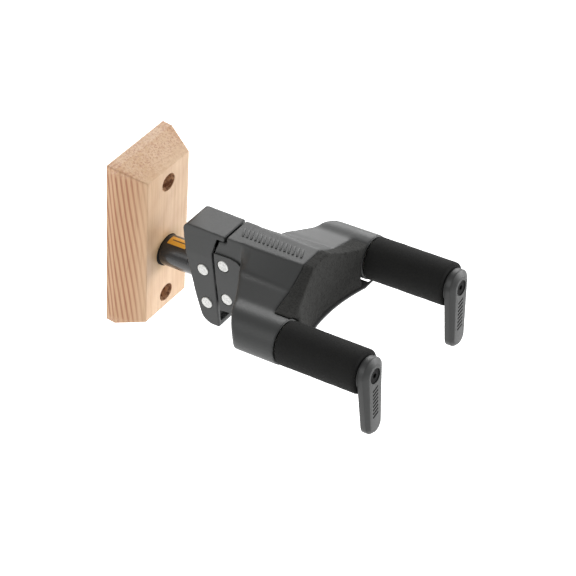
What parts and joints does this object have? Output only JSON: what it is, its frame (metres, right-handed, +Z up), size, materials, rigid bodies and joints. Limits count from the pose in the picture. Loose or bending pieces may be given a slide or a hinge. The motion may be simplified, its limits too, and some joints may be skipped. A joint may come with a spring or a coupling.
{
  "type": "wall guitar hanger",
  "caption": "Wall hanger on a bevelled wood block: a swivelling yoke on parallel links drops under load and turns two foam-sleeved arms whose end levers close across the neck",
  "frame": {"origin": "middle of the wood block's back face, on the wall plane", "axes": "+Z up, +X right seen from the front, the hanger stands out from the wall towards -Y"},
  "size_m": [0.1172, 0.2055, 0.1212],
  "materials": {
    "wood": "satin clear-coated oak with reddish side grain",
    "tube_paint": "glossy black paint",
    "black_rubber": "matte black rubber",
    "label": "satin printed film, plain amber band",
    "plated_steel": "zinc-plated steel",
    "rivet_steel": "bright tumbled rivet heads",
    "housing": "fine-textured charcoal moulding",
    "levers": "fine-textured charcoal moulding",
    "dark_screw": "black oxide screw",
    "bush": "natural acetal",
    "bronze": "sintered bronze",
    "arm_steel": "black steel tube",
    "foam": "closed-cell foam sleeve, fine pores",
    "pad_foam": "moulded foam pad with grainy skin"
  },
  "bodies": {
    "wall_base": {"wood_block": "wood", "shaft_tube": "tube_paint", "shaft_collar": "black_rubber", "shaft_label": "label", "tube_plug": "plated_steel", "anchor_washer": "plated_steel", "anchor_bolt": "plated_steel", "swivel_plug": "plated_steel", "swivel_bolt": "plated_steel"},
    "swivel_head": {"rear_bracket": "housing", "friction_washer": "bush", "swivel_bush": "bronze", "upper_rear_pin": "rivet_steel", "lower_rear_pin": "rivet_steel", "upper_rear_spacers": "plated_steel", "lower_rear_spacers": "plated_steel", "drive_arm": "plated_steel", "drive_screws": "plated_steel", "drive_crossbar": "plated_steel", "rest_bumper": "black_rubber"},
    "upper_links": {"upper_link_left": "plated_steel", "upper_link_right": "plated_steel", "lift_spring": "plated_steel"},
    "lower_links": {"lower_link_left": "plated_steel", "lower_link_right": "plated_steel"},
    "yoke": {"yoke_housing": "housing", "side_plate_left": "housing", "side_plate_right": "housing", "upper_front_pin": "rivet_steel", "lower_front_pin": "rivet_steel", "upper_front_spacers": "plated_steel", "lower_front_spacers": "plated_steel", "bottom_cover": "housing", "cover_screws": "plated_steel", "cradle_pad": "pad_foam", "rear_bush_left": "bush", "rear_bush_right": "bush", "front_bush_left": "bush", "front_bush_right": "bush"},
    "left_arm": {"arm_tube_left": "arm_steel", "crank_left": "plated_steel", "crank_pin_left": "plated_steel", "retaining_ring_left": "plated_steel", "foam_sleeve_left": "foam", "end_lever_left": "levers", "lever_screw_left": "dark_screw"},
    "right_arm": {"arm_tube_right": "arm_steel", "crank_right": "plated_steel", "crank_pin_right": "plated_steel", "retaining_ring_right": "plated_steel", "foam_sleeve_right": "foam", "end_lever_right": "levers", "lever_screw_right": "dark_screw"}
  },
  "joints": [
    {"name": "head_swivel", "type": "hinge", "parent": "wall_base", "child": "swivel_head", "pos_m": [0, -0.05324, -0.00386], "axis": [0, -0.9877, 0.1564], "range_deg": [-45, 45]},
    {"name": "link_drop", "type": "hinge", "parent": "swivel_head", "child": "upper_links", "pos_m": [0, -0.05958, 0.00281], "axis": [1, 0, 0], "range_deg": [0, 35], "stiffness_Nm_per_rad": 0.25, "springref_deg": -25.78},
    {"name": "lower_link_swing", "type": "hinge", "parent": "swivel_head", "child": "lower_links", "pos_m": [0, -0.06339, -0.02129], "axis": [1, 0, 0], "range_deg": [0, 35]},
    {"name": "yoke_level", "type": "hinge", "parent": "upper_links", "child": "yoke", "pos_m": [0, -0.07355, 0.01302], "axis": [1, 0, 0], "range_deg": [-35, 0]},
    {"name": "left_arm_turn", "type": "hinge", "parent": "yoke", "child": "left_arm", "pos_m": [-0.045, -0.13204, 0.01641], "axis": [0, -0.9877, 0.1564], "range_deg": [0, 94.5]},
    {"name": "right_arm_turn", "type": "hinge", "parent": "yoke", "child": "right_arm", "pos_m": [0.045, -0.13204, 0.01641], "axis": [0, -0.9877, 0.1564], "range_deg": [-82.5, 0]}
  ],
  "couplings": [
    {"joint": "lower_link_swing", "follows": "link_drop", "ratio": 1},
    {"joint": "yoke_level", "follows": "link_drop", "ratio": -1},
    {"joint": "left_arm_turn", "follows": "link_drop", "ratio": 2.7},
    {"joint": "right_arm_turn", "follows": "link_drop", "ratio": -2.3571}
  ]
}
